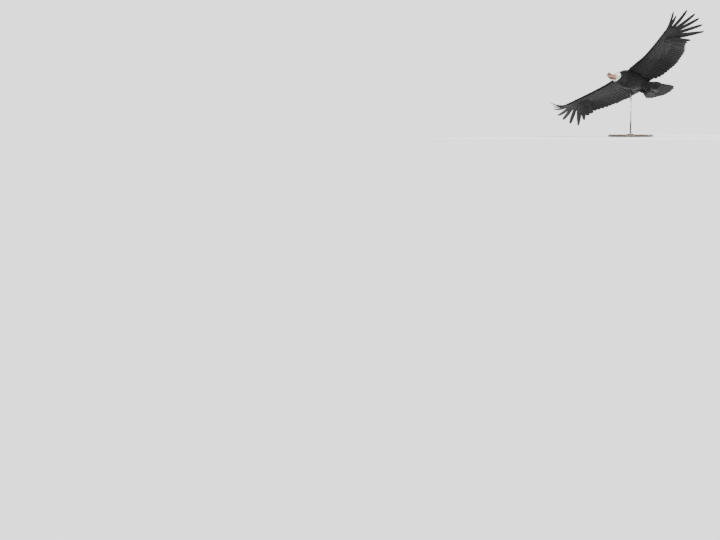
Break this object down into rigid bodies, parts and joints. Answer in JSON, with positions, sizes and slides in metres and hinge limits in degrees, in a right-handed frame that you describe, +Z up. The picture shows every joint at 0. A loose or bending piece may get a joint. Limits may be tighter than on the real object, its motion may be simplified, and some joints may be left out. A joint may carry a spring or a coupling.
{
  "type": "andean condor display model",
  "caption": "Life-size Andean condor with a white neck ruff, gliding with spread, slotted wings, held banked by one rod on a round flat display base.",
  "frame": {"origin": "centre of the underside of the stand's base", "axes": "+Z up, bill towards -Y, the bird's left wing towards +X; the bird is pitched nose up and banked with its left wing high"},
  "size_m": [2.5818, 1.0157, 1.6629],
  "materials": {
    "plumage": "glossy blue-black feathers",
    "ruff": "white down",
    "skin": "bare wrinkled skin, flesh red and grey",
    "horn": "smooth pale horn, dark at the base",
    "eye": "clear wet gloss over brown",
    "scales": "grey scaled skin with dark claws",
    "wood": "dark stained, satin",
    "steel": "satin"
  },
  "bodies": {
    "root": {"torso": "plumage", "neck": "skin", "ruff": "ruff", "head": "skin", "comb": "skin", "bill_upper": "horn", "bill_lower": "horn", "eye_left": "eye", "eye_right": "eye", "wing_left_arm": "plumage", "wing_left_hand": "plumage", "wing_right_arm": "plumage", "wing_right_hand": "plumage", "tail": "plumage", "thigh_left": "plumage", "thigh_right": "plumage", "foot_left": "scales", "foot_right": "scales", "stand_base": "wood", "stand_flange": "steel", "stand_rod": "steel"}
  },
  "joints": []
}
